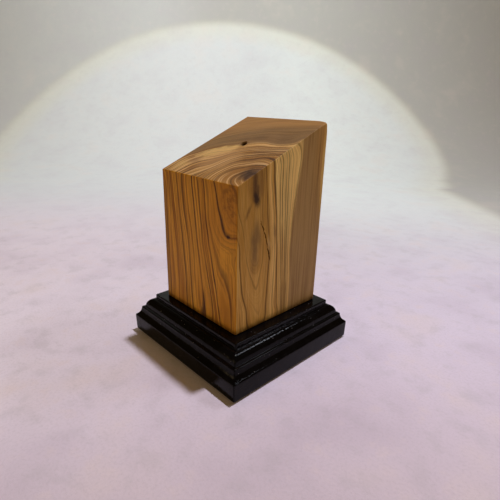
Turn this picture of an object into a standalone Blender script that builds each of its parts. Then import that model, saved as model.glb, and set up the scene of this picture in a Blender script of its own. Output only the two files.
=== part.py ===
"""Free-standing mezuzah case: an olive-wood block with a slanted top, screwed
to a black lacquered, moulded square base.  The block is bored from below for
the rolled parchment; the bore runs through the base and is closed from
beneath by a turned plug with an O-ring.

Frame: origin on the floor under the middle of the base, +Z up, the low side
of the slanted top faces -Y, the high side +Y.
"""

import math

import bmesh
import bpy
from mathutils import Matrix, Vector

MM = 0.001

# ---- driving dimensions, millimetres ---------------------------------------
JOINT_GAP = 0.15          # clearance kept between pieces that touch

FELT_SIDE = 71.0
FELT_T = 0.8
FELT_CORNER_R = 1.5
FELT_HOLE_D = 30.0

BASE_HALF = 37.8          # half of the foot slab's side
BASE_Z0 = FELT_T + JOINT_GAP
BASE_TOP_Z = 20.4
SLAB_TOP_Z = 8.9
TOP_FLAT_HALF = 30.0
BASE_CORNER_R = 0.6

BLOCK_W = 50.0            # along X
BLOCK_D = 51.6            # along Y
BLOCK_Z0 = BASE_TOP_Z + JOINT_GAP
BLOCK_LOW_H = 62.0        # height of the -Y face
BLOCK_HIGH_H = 84.0       # height of the +Y face
BLOCK_ARRIS = 0.4

BORE_D = 16.0             # scroll chamber, one drilling through base and block
BORE_TOP_Z = 82.6
CBORE_D = 26.0            # recess for the stopper's flange
CBORE_DEPTH = 3.2
NOTCH_R = 5.0             # fingernail notch at the recess's rim

STOPPER_FLANGE_D = 25.0
STOPPER_Z0 = 1.5
STOPPER_SEAT_Z = BASE_Z0 + CBORE_DEPTH - JOINT_GAP
STOPPER_D = 14.8
STOPPER_TOP_Z = 16.2
STOPPER_RIB_D = 15.7      # two ribs grip the bore
STOPPER_RIBS_Z = (8.0, 12.4)
STOPPER_CORE_D = 8.6      # hollow from below, so that it squeezes
STOPPER_CORE_DEPTH = 10.5

SCROLL_LEN = 60.0         # a 60 x 60 mm parchment, rolled
SCROLL_WIDTH = 60.0
SCROLL_T = 0.35
SCROLL_PITCH = 0.85
SCROLL_R0 = 2.6
SCROLL_Z0 = STOPPER_TOP_Z + 0.2

SCREW_XY = 16.5           # the four screws stand on a square of twice this
SCREW_HEAD_Z = 6.2        # underside of the head, in its counterbore
SCREW_LEN = 32.0
SCREW_D = 4.2
SCREW_ROOT_D = 2.7
SCREW_HEAD_D = 8.2
SCREW_HEAD_H = 2.5
SCREW_PITCH = 2.4
SCREW_HOLE_D = 4.8
SCREW_CBORE_D = 9.2
SCREW_HOLE_TOP_Z = 39.5


# ---- scene -------------------------------------------------------------------
for old in list(bpy.data.objects):
    bpy.data.objects.remove(old, do_unlink=True)
for block in (bpy.data.meshes, bpy.data.materials, bpy.data.curves):
    for item in list(block):
        if item.users == 0:
            block.remove(item)

collection = bpy.context.scene.collection


def material(name, colour, roughness, metallic=0.0):
    m = bpy.data.materials.new(name)
    m.use_nodes = True
    shader = m.node_tree.nodes["Principled BSDF"]
    shader.inputs["Base Color"].default_value = (*colour, 1.0)
    shader.inputs["Roughness"].default_value = roughness
    shader.inputs["Metallic"].default_value = metallic
    m.diffuse_color = (*colour, 1.0)
    return m


OLIVE = material("olive_wood", (0.42, 0.23, 0.085), 0.42)
LACQUER = material("black_lacquer", (0.012, 0.011, 0.011), 0.16)
RUBBER = material("black_rubber", (0.025, 0.025, 0.027), 0.55)
PARCHMENT = material("parchment", (0.80, 0.71, 0.54), 0.62)
FELT = material("black_felt", (0.02, 0.02, 0.022), 0.95)
STEEL = material("zinc_steel", (0.62, 0.60, 0.55), 0.32, 1.0)

root = bpy.data.objects.new("mezuzah_case", None)
root.empty_display_type = "PLAIN_AXES"
collection.objects.link(root)


def finish(bm, name, mat, origin=(0, 0, 0), smooth_angle=35.0, parent=root):
    """Turns a bmesh given in millimetres, in world coordinates, into an object whose origin is at origin."""
    bmesh.ops.recalc_face_normals(bm, faces=bm.faces)
    o = Vector(origin)
    for v in bm.verts:
        v.co = (v.co - o) * MM
    mesh = bpy.data.meshes.new(name)
    bm.to_mesh(mesh)
    bm.free()
    mesh.materials.append(mat)
    obj = bpy.data.objects.new(name, mesh)
    obj.location = o * MM
    collection.objects.link(obj)
    if parent is not None:
        obj.parent = parent
    mesh.shade_smooth()
    mesh.set_sharp_from_angle(angle=math.radians(smooth_angle))
    return obj


def cutter(bm, name, origin=(0, 0, 0)):
    obj = finish(bm, name, LACQUER, origin)
    obj.hide_render = True
    obj.display_type = "WIRE"
    return obj


def cut(obj, tool, label):
    mod = obj.modifiers.new(label, "BOOLEAN")
    mod.operation = "DIFFERENCE"
    mod.solver = "EXACT"
    mod.object = tool


def ring_square(bm, half_x, half_y, z, corner_r, steps=2):
    """One loop of vertices round a rectangle with rounded corners."""
    loop = []
    for sx, sy, a0 in ((1, 1, 0), (-1, 1, 90), (-1, -1, 180), (1, -1, 270)):
        for k in range(steps + 1):
            a = math.radians(a0 + 90 * k / steps)
            loop.append(
                bm.verts.new(
                    (
                        sx * (half_x - corner_r) + corner_r * math.cos(a),
                        sy * (half_y - corner_r) + corner_r * math.sin(a),
                        z,
                    )
                )
            )
    return loop


def ring_circle(bm, centre, r, z, n):
    return [
        bm.verts.new(
            (
                centre[0] + r * math.cos(2 * math.pi * k / n),
                centre[1] + r * math.sin(2 * math.pi * k / n),
                z,
            )
        )
        for k in range(n)
    ]


def skin(bm, loops, cap_start=True, cap_end=True):
    """Bridges loops of equal length in order, and caps the ends."""
    for a, b in zip(loops, loops[1:]):
        n = len(a)
        for k in range(n):
            bm.faces.new((a[k], a[(k + 1) % n], b[(k + 1) % n], b[k]))
    if cap_start:
        bm.faces.new(list(reversed(loops[0])))
    if cap_end:
        bm.faces.new(loops[-1])


def turned(profile, centre=(0.0, 0.0), n=32):
    """A turned solid: profile is (radius, z) from the bottom up, outer surface only."""
    bm = bmesh.new()
    skin(bm, [ring_circle(bm, centre, r, z, n) for r, z in profile])
    return bm


def arc(cx, cz, rx, rz, a0, a1, steps):
    """Points on an elliptical arc in the profile plane, angles in degrees."""
    return [
        (
            cx + rx * math.cos(math.radians(a0 + (a1 - a0) * k / steps)),
            cz + rz * math.sin(math.radians(a0 + (a1 - a0) * k / steps)),
        )
        for k in range(steps + 1)
    ]


def through_three(p, q, r, steps):
    """Points on the parabola-like curve from p to r that passes q half way."""
    pts = []
    cx = 2 * q[0] - (p[0] + r[0]) / 2
    cz = 2 * q[1] - (p[1] + r[1]) / 2
    for k in range(steps + 1):
        t = k / steps
        pts.append(
            (
                (1 - t) ** 2 * p[0] + 2 * t * (1 - t) * cx + t * t * r[0],
                (1 - t) ** 2 * p[1] + 2 * t * (1 - t) * cz + t * t * r[1],
            )
        )
    return pts


# ---- base: slab, cove, small fillet, ovolo, top fillet -----------------------
def base_profile():
    """(half side, z) of the moulding from the underside to the top flat."""
    pts = [(BASE_HALF - 0.5, BASE_Z0), (BASE_HALF - 0.12, BASE_Z0 + 0.16), (BASE_HALF, BASE_Z0 + 0.55)]
    pts += [(BASE_HALF, SLAB_TOP_Z - 0.12)]
    pts += through_three((BASE_HALF - 0.12, SLAB_TOP_Z + 0.05), (36.35, 10.05), (35.42, 11.6), 4)
    pts += [(35.32, 13.15), (35.05, 13.45), (34.7, 13.55), (33.95, 13.6)]
    pts += arc(TOP_FLAT_HALF, 13.75, 3.9, 4.2, 2, 80, 5)
    pts += [(TOP_FLAT_HALF, 17.98), (TOP_FLAT_HALF, BASE_TOP_Z - 0.25), (TOP_FLAT_HALF - 0.25, BASE_TOP_Z)]
    return pts


bm = bmesh.new()
skin(bm, [ring_square(bm, s, s, z, BASE_CORNER_R) for s, z in base_profile()])
base = finish(bm, "base_plinth", LACQUER)

# bore and flange recess, as one turned cutter
bore_r = BORE_D / 2
cut(
    base,
    cutter(
        turned(
            [
                (CBORE_D / 2, BASE_Z0 - 2.0),
                (CBORE_D / 2, BASE_Z0 + CBORE_DEPTH),
                (bore_r, BASE_Z0 + CBORE_DEPTH),
                (bore_r, BASE_TOP_Z + 3.0),
            ],
            n=48,
        ),
        "cut_base_bore",
    ),
    "bore",
)
# fingernail notch beside the recess, on the low side
cut(
    base,
    cutter(
        turned(
            [(NOTCH_R, BASE_Z0 - 2.0), (NOTCH_R, BASE_Z0 + 2.4), (NOTCH_R - 1.2, BASE_Z0 + 3.1)],
            centre=(0.0, -CBORE_D / 2 - 0.5),
            n=24,
        ),
        "cut_nail_notch",
    ),
    "nail_notch",
)

# ---- block --------------------------------------------------------------------
bm = bmesh.new()
hx, hy = BLOCK_W / 2, BLOCK_D / 2
low, high = BLOCK_Z0 + BLOCK_LOW_H, BLOCK_Z0 + BLOCK_HIGH_H
corners = {
    (sx, sy, top): bm.verts.new((sx * hx, sy * hy, (high if sy > 0 else low) if top else BLOCK_Z0))
    for sx in (-1, 1)
    for sy in (-1, 1)
    for top in (False, True)
}
c = corners
for quad in (
    ((-1, -1, False), (-1, 1, False), (1, 1, False), (1, -1, False)),
    ((-1, -1, True), (1, -1, True), (1, 1, True), (-1, 1, True)),
    ((-1, -1, False), (1, -1, False), (1, -1, True), (-1, -1, True)),
    ((1, -1, False), (1, 1, False), (1, 1, True), (1, -1, True)),
    ((1, 1, False), (-1, 1, False), (-1, 1, True), (1, 1, True)),
    ((-1, 1, False), (-1, -1, False), (-1, -1, True), (-1, 1, True)),
):
    bm.faces.new([c[k] for k in quad])
block = finish(bm, "case_block", OLIVE, origin=(0, 0, BLOCK_Z0))
bevel = block.modifiers.new("arris", "BEVEL")
bevel.width = BLOCK_ARRIS * MM
bevel.segments = 2
bevel.limit_method = "ANGLE"
bevel.angle_limit = math.radians(30)
cut(
    block,
    cutter(
        turned([(bore_r, BLOCK_Z0 - 3.0), (bore_r, BORE_TOP_Z)], n=48),
        "cut_block_bore",
    ),
    "scroll_chamber",
)

# ---- screws and their holes -------------------------------------------------------
def wood_screw(x, y):
    """A countersunk wood screw standing point up, with a helical thread and a cross recess."""
    n, rows = 10, 4
    bm = bmesh.new()
    z0 = SCREW_HEAD_Z
    z_tip = z0 + SCREW_LEN
    root_r, crest_r = SCREW_ROOT_D / 2, SCREW_D / 2
    thread_z0 = z0 + 11.0
    thread_z1 = z_tip - 3.4
    turns = int((thread_z1 - thread_z0 - SCREW_PITCH) / SCREW_PITCH)
    loops = [
        ring_circle(bm, (x, y), r, z, n)
        for r, z in (
            (SCREW_HEAD_D / 2 - 0.25, z0),
            (SCREW_HEAD_D / 2, z0 + 0.2),
            (SCREW_HEAD_D / 2, z0 + 0.45),
            (SCREW_D / 2 - 0.35, z0 + SCREW_HEAD_H),
            (SCREW_D / 2 - 0.35, thread_z0 - 0.6),
            (root_r, thread_z0 - 0.25),
        )
    ]
    skin(bm, loops, cap_start=True, cap_end=False)
    top = loops[-1]
    profile = (root_r, root_r, crest_r, root_r)  # one pitch of the thread, from row to row

    def thread_vert(k, j):
        a = 2 * math.pi * j / n
        fade = min(1.0, (k + j / n * rows) / rows, (turns * rows - k - j / n * rows + rows) / rows)
        r = root_r + (profile[k % rows] - root_r) * max(0.0, fade)
        z = thread_z0 + (k / rows + j / n) * SCREW_PITCH
        return bm.verts.new((x + r * math.cos(a), y + r * math.sin(a), z))

    last = turns * rows
    grid = [[thread_vert(k, j) for j in range(n)] for k in range(last + rows + 1)]

    def at(k, j):
        return grid[k][j] if j < n else grid[k + rows][0]

    for k in range(last):
        for j in range(n):
            bm.faces.new((at(k, j), at(k, j + 1), at(k + 1, j + 1), at(k + 1, j)))
    # where the helix starts: a plain skirt, and a fan over the one-pitch step
    for j in range(n - 1):
        bm.faces.new((top[j], top[j + 1], at(0, j + 1), at(0, j)))
    bm.faces.new((top[n - 1], top[0], at(0, 0), at(0, n - 1)))
    for k in range(rows):
        bm.faces.new((at(k, 0), at(k + 1, 0), at(0, n - 1)))
    end_z = thread_z0 + (last / rows + 1.0) * SCREW_PITCH + 0.3
    # where the helix ends: the same, the other way up
    end = ring_circle(bm, (x, y), root_r, end_z, n)
    bm.faces.new((at(last, 0), at(last, 1), end[1]))
    for j in range(1, n - 1):
        bm.faces.new((at(last, j), at(last, j + 1), end[j + 1], end[j]))
    bm.faces.new((at(last, n - 1), at(last + rows, 0), end[0], end[n - 1]))
    for k in range(last, last + rows):
        bm.faces.new((at(k, 0), end[1], at(k + 1, 0)))
    bm.faces.new((at(last + rows, 0), end[1], end[0]))
    used = {v for f in bm.faces for v in f.verts} | set(end)
    bmesh.ops.delete(bm, geom=[v for v in bm.verts if v not in used], context="VERTS")
    tip = bm.verts.new((x, y, z_tip))
    for j in range(n):
        bm.faces.new((end[j], end[(j + 1) % n], tip))
    return bm


def cross_recess(x, y):
    """Cutter for the cross-shaped driver recess in the head's flat face."""
    bm = bmesh.new()
    w, l = 0.55, 2.2
    z = SCREW_HEAD_Z
    outline = [
        (w, w), (l, w), (l, -w), (w, -w), (w, -l), (-w, -l),
        (-w, -w), (-l, -w), (-l, w), (-w, w), (-w, l), (w, l),
    ]
    mouth = [bm.verts.new((x + px, y + py, z - 0.5)) for px, py in outline]
    floor = [bm.verts.new((x + px * 0.62, y + py * 0.62, z + 1.5)) for px, py in outline]
    skin(bm, [mouth, floor])
    return bm


hole_profile = [
    (SCREW_CBORE_D / 2, BASE_Z0 - 2.0),
    (SCREW_CBORE_D / 2, SCREW_HEAD_Z + 0.6),
    (SCREW_HOLE_D / 2, SCREW_HEAD_Z + SCREW_HEAD_H + 0.55),
    (SCREW_HOLE_D / 2, BASE_TOP_Z + 3.0),
]
for number, (sx, sy) in enumerate(((1, 1), (-1, 1), (-1, -1), (1, -1)), start=1):
    x, y = sx * SCREW_XY, sy * SCREW_XY
    screw = finish(wood_screw(x, y), f"base_screw_{number}", STEEL, origin=(x, y, SCREW_HEAD_Z))
    cut(screw, cutter(cross_recess(x, y), f"cut_recess_{number}", origin=(x, y, SCREW_HEAD_Z)), "cross_recess")
    cut(
        base,
        cutter(turned(hole_profile, centre=(x, y), n=24), f"cut_base_screw_{number}"),
        f"screw_hole_{number}",
    )
    cut(
        block,
        cutter(
            turned([(SCREW_HOLE_D / 2, BLOCK_Z0 - 3.0), (SCREW_HOLE_D / 2, SCREW_HOLE_TOP_Z)], centre=(x, y), n=16),
            f"cut_block_screw_{number}",
        ),
        f"pilot_{number}",
    )

# ---- felt pad ------------------------------------------------------------------------
bm = bmesh.new()
half = FELT_SIDE / 2
skin(
    bm,
    [
        ring_square(bm, half, half, 0.0, FELT_CORNER_R, steps=4),
        ring_square(bm, half, half, FELT_T, FELT_CORNER_R, steps=4),
    ],
)
felt = finish(bm, "felt_pad", FELT)
cut(
    felt,
    cutter(turned([(FELT_HOLE_D / 2, -2.0), (FELT_HOLE_D / 2, FELT_T + 2.0)], n=40), "cut_felt_hole"),
    "plug_opening",
)

# ---- rubber stopper: flange, ribbed plug, hollow core open to the underside -------------------
outer = [
    (STOPPER_FLANGE_D / 2 - 0.7, STOPPER_Z0),
    (STOPPER_FLANGE_D / 2 - 0.2, STOPPER_Z0 + 0.2),
    (STOPPER_FLANGE_D / 2, STOPPER_Z0 + 0.7),
    (STOPPER_FLANGE_D / 2, STOPPER_SEAT_Z - 0.3),
    (STOPPER_FLANGE_D / 2 - 0.3, STOPPER_SEAT_Z),
    (STOPPER_D / 2, STOPPER_SEAT_Z),
]
for rib_z in STOPPER_RIBS_Z:
    outer += [
        (STOPPER_D / 2, rib_z - 0.9),
        (STOPPER_RIB_D / 2, rib_z - 0.35),
        (STOPPER_RIB_D / 2, rib_z + 0.05),
        (STOPPER_D / 2, rib_z + 1.1),
    ]
outer += [(STOPPER_D / 2, STOPPER_TOP_Z - 0.9), (STOPPER_D / 2 - 0.9, STOPPER_TOP_Z)]
stopper = finish(turned(outer, n=40), "chamber_stopper", RUBBER, origin=(0, 0, STOPPER_Z0))
core_r = STOPPER_CORE_D / 2
cut(
    stopper,
    cutter(
        turned(
            [
                (core_r + 1.0, STOPPER_Z0 - 1.0),
                (core_r, STOPPER_Z0 + 0.5),
                (core_r - 0.3, STOPPER_Z0 + STOPPER_CORE_DEPTH - 0.7),
                (core_r - 1.0, STOPPER_Z0 + STOPPER_CORE_DEPTH),
            ],
            n=28,
        ),
        "cut_stopper_core",
    ),
    "core",
)

# ---- rolled parchment: one sheet wound on itself, an open spiral with a hollow core --------
def spiral_points():
    """(radius, angle) of the sheet's middle line, wound until the sheet's width is used up."""
    pts, length, angle = [], 0.0, 0.0
    step = math.radians(14)
    while length < SCROLL_WIDTH:
        r = SCROLL_R0 + SCROLL_PITCH * angle / (2 * math.pi)
        pts.append((r, angle))
        length += r * step
        angle += step
    return pts


bm = bmesh.new()
rims = []
for r, a in spiral_points():
    ca, sa = math.cos(a), math.sin(a)
    quad = []
    for rr, zz in (
        (r - SCROLL_T / 2, SCROLL_Z0),
        (r + SCROLL_T / 2, SCROLL_Z0),
        (r + SCROLL_T / 2, SCROLL_Z0 + SCROLL_LEN),
        (r - SCROLL_T / 2, SCROLL_Z0 + SCROLL_LEN),
    ):
        quad.append(bm.verts.new((rr * ca, rr * sa, zz)))
    rims.append(quad)
skin(bm, rims)
finish(bm, "parchment_scroll", PARCHMENT, origin=(0, 0, SCROLL_Z0), smooth_angle=50)
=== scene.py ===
"""Visual model of the free-standing mezuzah case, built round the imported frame.

All lengths in the geometry code are millimetres in the row frame: origin on
the floor under the middle of the case, +Z up, the low side of the slanted top
facing -Y.  mesh_object() turns them into metres.
"""

import math
import random

import bmesh
import bpy
import numpy as np
from mathutils import Matrix, Vector, noise


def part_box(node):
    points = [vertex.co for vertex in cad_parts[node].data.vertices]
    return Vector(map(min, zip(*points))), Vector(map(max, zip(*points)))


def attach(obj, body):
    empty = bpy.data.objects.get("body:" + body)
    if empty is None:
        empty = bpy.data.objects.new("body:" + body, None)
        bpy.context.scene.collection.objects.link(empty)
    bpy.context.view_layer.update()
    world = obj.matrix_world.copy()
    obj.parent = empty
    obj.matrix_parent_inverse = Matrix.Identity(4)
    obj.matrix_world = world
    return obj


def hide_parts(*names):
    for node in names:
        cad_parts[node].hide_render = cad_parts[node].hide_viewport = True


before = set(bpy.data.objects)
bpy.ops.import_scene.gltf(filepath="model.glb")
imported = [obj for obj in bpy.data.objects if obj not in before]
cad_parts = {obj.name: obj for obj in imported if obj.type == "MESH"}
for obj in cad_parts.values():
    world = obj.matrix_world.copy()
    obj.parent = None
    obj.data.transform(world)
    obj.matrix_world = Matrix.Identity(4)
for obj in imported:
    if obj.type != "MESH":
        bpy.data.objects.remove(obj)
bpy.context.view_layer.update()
MM = 0.001

# ---- sizes shared with the CAD model ------------------------------------------
block_low, block_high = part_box("case_block")
base_low, base_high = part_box("base_plinth")
felt_low, felt_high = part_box("felt_pad")
stop_low, stop_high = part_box("chamber_stopper")
scroll_low, scroll_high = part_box("parchment_scroll")

BLOCK_Z0 = block_low[2] / MM
BLOCK_HX = block_high[0] / MM
BLOCK_HY = block_high[1] / MM
LOW_H, HIGH_H = 62.0, 84.0
BORE_R = 8.0
BORE_TOP_Z = 82.6
BASE_HALF = base_high[0] / MM
BASE_Z0 = base_low[2] / MM
BASE_TOP_Z = base_high[2] / MM
RECESS_R = 13.0
RECESS_TOP = BASE_Z0 + 3.2
SCREW_XY = 16.5
SLOPE = math.atan2(HIGH_H - LOW_H, 2 * BLOCK_HY)


def srgb(r, g, b):
    """Linear colour of an 8-bit display colour."""
    out = []
    for c in (r, g, b):
        c = c / 255.0
        out.append(c / 12.92 if c <= 0.04045 else ((c + 0.055) / 1.055) ** 2.4)
    return (*out, 1.0)


# ---- mesh helpers -----------------------------------------------------------------
def mesh_object(name, verts, faces, smooth_angle=None, attributes=None):
    mesh = bpy.data.meshes.new(name)
    mesh.from_pydata((np.asarray(verts) * MM).tolist(), [], faces)
    mesh.update()
    for key, values in (attributes or {}).items():
        layer = mesh.attributes.new(key, "FLOAT", "POINT")
        layer.data.foreach_set("value", np.asarray(values, dtype=np.float32))
    mesh.shade_smooth()
    if smooth_angle is not None:
        mesh.set_sharp_from_angle(angle=math.radians(smooth_angle))
    obj = bpy.data.objects.new(name, mesh)
    bpy.context.scene.collection.objects.link(obj)
    return obj


def merged_lines(regular, extra, gap=0.04):
    """Sorted grid lines: the extra ones, and each regular one that isn't too close to them."""
    extra = sorted(extra)
    keep = [v for v in regular if all(abs(v - e) > 0.3 for e in extra)]
    out = []
    for v in sorted(keep + extra):
        if not out or v - out[-1] > gap:
            out.append(v)
    return np.array(out)


def wobble(p, scale, seed):
    """Smooth noise, about -1 to 1, at each row of p (mm)."""
    s = 1.0 / scale
    return np.array([noise.noise((a * s + seed, b * s - seed, c * s + 2 * seed)) for a, b, c in p])


# =====================================================================================
# The olive wood's growth rings
# =====================================================================================
# Each trace is a ring number, counted outwards from the pith, and where that ring comes
# out on a face: "front" and "side" give (mm from the face's left edge, mm above the
# base), "top" gives (mm from the left, mm up the slope).
def on_front(u, v):
    return (u - BLOCK_HX, -BLOCK_HY, v)


def on_side(u, v):
    return (BLOCK_HX, u - BLOCK_HY, v)


def on_top(u, v):
    return (u - BLOCK_HX, -BLOCK_HY + v * math.cos(SLOPE), LOW_H + v * math.sin(SLOPE))


RING_TRACES = [
    (0.0, on_side, [(10, 42), (10, 52), (10.3, 60)]),
    (0.3, on_top, [(48, 8)]),
    (0.6, on_side, [(10.6, 30)]),
    (1.5, on_side, [(3, 46), (4.5, 38), (6, 31), (7.5, 26), (11.2, 17.2), (13.2, 23), (14.4, 30), (14.6, 36), (14, 45), (13, 66)]),
    (2.3, on_side, [(12, 7)]),
    (1.6, on_front, [(49.5, 59)]),
    (2.0, on_front, [(46, 53)]),
    (2.4, on_front, [(49, 47)]),
    (3.0, on_front, [(37, 61), (39, 53), (41.5, 47), (44, 42), (47, 41), (49.5, 42.5)]),
    (3.8, on_front, [(44.3, 37.5), (49.6, 39.0)]),
    (3.9, on_front, [(49.6, 26), (49.7, 12), (49.8, 2)]),
    (4.7, on_front, [(40.5, 20), (42.8, 11), (43.8, 2)]),
    (3.0, on_side, [(1.7, 31), (3.3, 17.5), (5.6, 11), (6.7, 2)]),
    (3.0, on_side, [(14.6, 67), (15.3, 60), (16.2, 50), (17.3, 40), (18.5, 30), (18, 20), (17.7, 10), (17.5, 2)]),
    (3.0, on_top, [(42, 13), (38.4, 10.7), (36, 7.5), (35.2, 3)]),
    (4.4, on_front, [(32.9, 45), (35.7, 38), (38.6, 30.9), (41.4, 25.9), (44.3, 20), (46.4, 14.4), (47.5, 7.3), (47.9, 1.6)]),
    (5.0, on_front, [(30, 60), (31, 47), (32.5, 37), (34.5, 30), (36, 22), (38, 12), (39.5, 3)]),
    (5.0, on_side, [(19.2, 69.5), (20.5, 59), (21.7, 48.6), (22, 42), (22.8, 30), (23.2, 20), (23.5, 6), (23.6, 0)]),
    (5.0, on_top, [(47.6, 21.5), (44, 21), (38.4, 17.9), (34.8, 16.3), (32, 13), (30.8, 9.5), (29.6, 6.3)]),
    (6.2, on_front, [(26.2, 60), (27.6, 47), (28.6, 39.4), (29.4, 33), (30.8, 27), (32.4, 20), (34.6, 12), (36.0, 4)]),
    (6.5, on_side, [(23.8, 67), (24, 55), (24.8, 42), (25.8, 32), (26.7, 20), (27.6, 10), (28.0, 0)]),
    (7.2, on_front, [(21.75, 60), (23.5, 47), (24.75, 36), (26, 28), (27, 20), (28, 12), (29.5, 3)]),
    (9.0, on_front, [(14.75, 60), (16, 47), (18, 38), (19, 31), (19.6, 20), (20.5, 6)]),
    (9.0, on_side, [(26.8, 70), (27, 55), (27.5, 40), (28.5, 25), (29.4, 10), (29.9, 0)]),
    (9.0, on_top, [(24, 13), (21, 8.3), (17.6, 7), (16, 2.3)]),
    (10.3, on_front, [(10.75, 61), (12.5, 46), (14.25, 34), (15, 26), (16, 17), (16.25, 7)]),
    (12.0, on_front, [(6, 61), (7.5, 45), (9.5, 27), (10.5, 12)]),
    (11.5, on_side, [(29.3, 72), (29.4, 56), (30, 35), (30.6, 20), (31.0, 5), (31.0, 0)]),
    (14.0, on_side, [(36.2, 77), (35.6, 68), (34.2, 58), (33.2, 50), (31.7, 40), (31.2, 30), (32.2, 15), (32.2, 3), (32.2, 0)]),
    (14.0, on_top, [(49.4, 34.0), (42, 32.0), (34, 32.5), (28, 31), (24, 29.5), (20.5, 28.4), (15, 26.3), (12, 25), (8, 21.5), (4, 16.5), (1, 13.5)]),
    (14.2, on_front, [(0.5, 55), (0.5, 30)]),
    (17.0, on_side, [(41.5, 78), (40.5, 52), (39.5, 27), (39.5, 3)]),
    (19.5, on_side, [(46.5, 80), (45.5, 52), (45, 27), (45, 3)]),
    (22.0, on_side, [(51, 80), (51, 52), (51, 27), (51, 3)]),
    (17.0, on_top, [(40, 42), (28, 41), (18, 37), (9, 31), (2, 24)]),
    (19.5, on_top, [(36, 48.5), (24, 46.5), (12, 41), (3, 35)]),
    (22.0, on_top, [(40, 54), (24, 53.5), (10, 49), (2, 44)]),
]


def closer(trace, gap=7.0):
    """The same trace with points no further apart than the gap."""
    out = [trace[0]]
    for (u0, v0), (u1, v1) in zip(trace, trace[1:]):
        n = max(1, math.ceil(math.hypot(u1 - u0, v1 - v0) / gap))
        out += [(u0 + (u1 - u0) * m / n, v0 + (v1 - v0) * m / n) for m in range(1, n + 1)]
    return out


def ring_field():
    """A smooth function of position that has each trace's ring number along it."""
    pts, values = [], []
    for number, place, trace in RING_TRACES:
        for u, v in closer(trace):
            pts.append(place(u, v))
            values.append(number)
    pts = np.array(pts, dtype=float)
    n = len(pts)
    spread = 36.0
    dist2 = ((pts[:, None] - pts[None]) ** 2).sum(axis=2)
    system = np.zeros((n + 4, n + 4))
    system[:n, :n] = np.sqrt(dist2 + spread) - 0.15 * np.eye(n)
    system[:n, n] = system[n, :n] = 1.0
    system[:n, n + 1 :] = pts / 50.0
    system[n + 1 :, :n] = (pts / 50.0).T
    w = np.linalg.solve(system, np.r_[values, np.zeros(4)])

    def field(p):
        p = np.asarray(p, dtype=float)
        out = np.empty(len(p))
        for s in range(0, len(p), 20000):
            c = p[s : s + 20000]
            d2 = ((c[:, None] - pts[None]) ** 2).sum(axis=2)
            out[s : s + 20000] = np.sqrt(d2 + spread) @ w[:n] + w[n] + (c / 50.0) @ w[n + 1 :]
        return out

    return field


ring_number = ring_field()


def ring_pace(p, rings):
    """Rings per millimetre at each point."""
    step = 0.25
    parts = [(ring_number(p + step * np.eye(3)[a]) - rings) / step for a in range(3)]
    return np.sqrt(sum(d * d for d in parts))


# =====================================================================================
# Olive-wood block
# =====================================================================================
EDGE_STEPS = (0.0, 0.09, 0.2, 0.34, 0.52, 0.8, 1.2)
CRACK_U = 15.5  # the crack's grid columns stand here before they are bent to its path
CRACK_COLUMNS = (-3.2, -1.9, -1.15, -0.8, 0.0, 0.8, 1.15, 1.9, 3.2)
CRACK_PATH = [
    (12.2, 48.6), (12.7, 47.2), (13.2, 46.2), (13.0, 45.5), (13.9, 44.2), (14.6, 43.2), (14.5, 42.5), (15.5, 40.7),
    (16.1, 38.9), (16.5, 37.2), (17.1, 35.8), (16.95, 34.8), (17.8, 32.9), (18.1, 31.2), (18.55, 29.6), (18.45, 27.6),
]
KNOT_U, KNOT_V = 23.6, 29.6  # centre of the knot hole, on the top


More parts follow.
